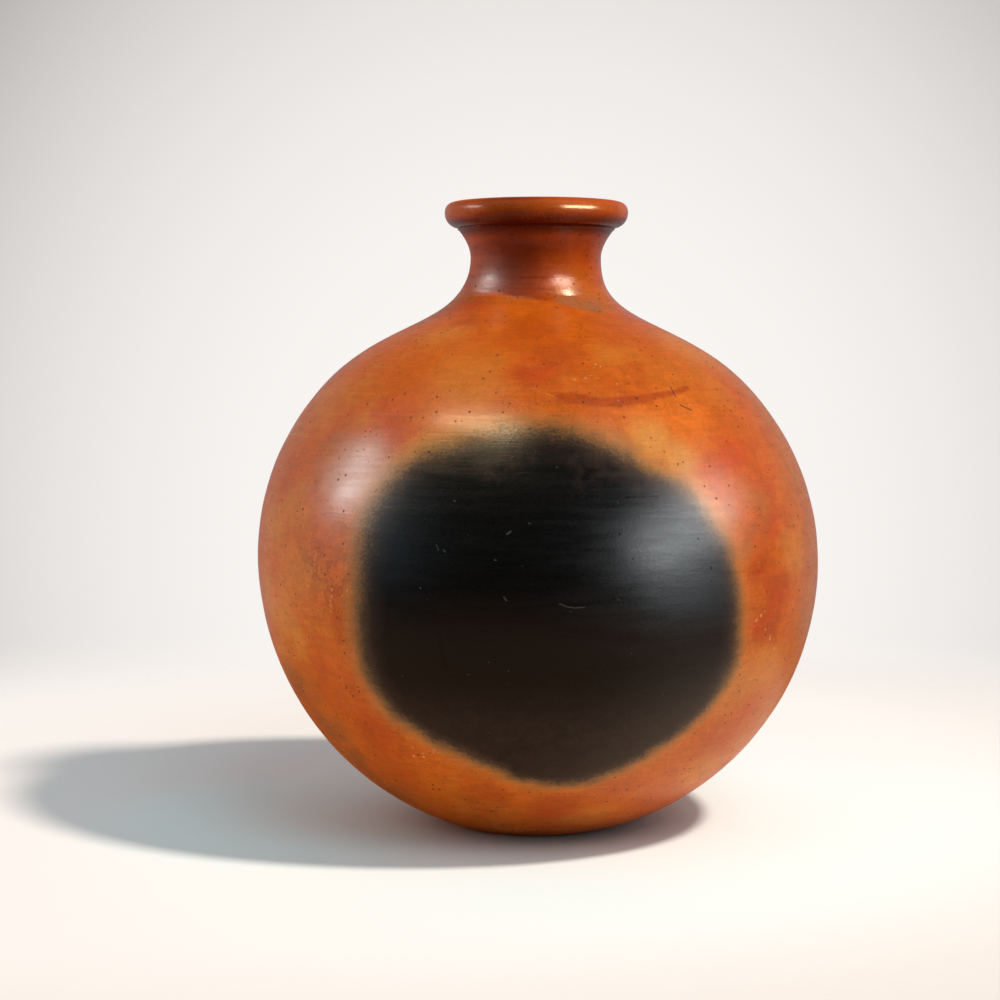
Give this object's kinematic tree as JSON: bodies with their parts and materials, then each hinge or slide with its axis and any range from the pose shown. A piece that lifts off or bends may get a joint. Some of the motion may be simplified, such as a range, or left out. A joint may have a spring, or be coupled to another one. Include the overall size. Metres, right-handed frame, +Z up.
{
  "type": "ball vase",
  "caption": "Free-standing round-bodied vase of burnished unglazed clay with a short waisted neck and a thick rolled rim, for holding cut stems or for display.",
  "frame": {"origin": "middle of the foot ring, on the surface that the vase stands on", "axes": "+Z up along the vase's axis of revolution; -Y is the front, which carries the fire cloud; +X to the viewer's right"},
  "size_m": [0.25, 0.25, 0.2776],
  "materials": {
    "burnished_clay": "unglazed orange earthenware, stone-burnished to a soft gloss, with one black fire cloud",
    "dark_slip": "iron-rich red-brown slip over the neck and rim, burnished to a higher gloss",
    "luting_slip": "dull fired slip in the luted seams"
  },
  "bodies": {
    "root": {"base_bowl": "burnished_clay", "belly_slip_joint": "luting_slip", "shoulder_dome": "burnished_clay", "neck_slip_joint": "luting_slip", "neck_collar": "dark_slip", "rim_slip_joint": "luting_slip", "rim_roll": "dark_slip"}
  },
  "joints": []
}
